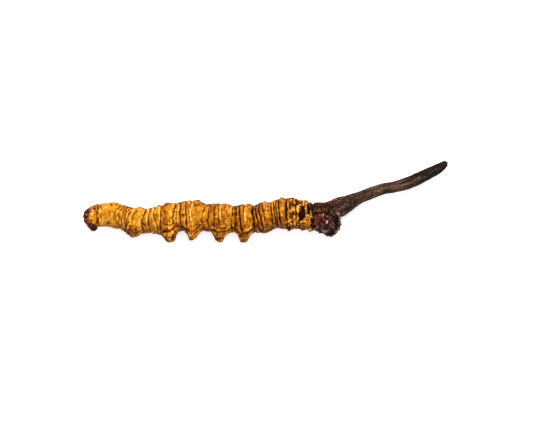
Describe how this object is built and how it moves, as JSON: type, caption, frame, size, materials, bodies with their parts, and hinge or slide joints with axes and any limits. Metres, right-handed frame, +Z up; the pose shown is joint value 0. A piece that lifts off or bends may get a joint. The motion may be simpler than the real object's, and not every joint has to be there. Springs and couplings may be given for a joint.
{
  "type": "dried cordyceps",
  "caption": "Dried cordyceps lying on its side: a ringed golden larva with stubby feet, a glossy dark head, and a slender dark stalk grown from the head.",
  "frame": {"origin": "middle of the footprint of the whole object, on the surface that it lies on", "axes": "+X from the larva's tail to the stalk's tip, +Y from the larva's feet to its back, +Z up from the surface"},
  "size_m": [0.064, 0.0141, 0.0055],
  "materials": {
    "larva_skin": "dry ringed skin, golden with brown folds, softly glossy on the ridges",
    "head_shell": "hard horny shell, deep red-brown and glossy",
    "fungus_flesh": "dry fibrous fungus, dark brown, matte with fine lengthwise wrinkles"
  },
  "bodies": {
    "root": {"larva_body": "larva_skin", "head_capsule": "head_shell", "stroma": "fungus_flesh"}
  },
  "joints": []
}
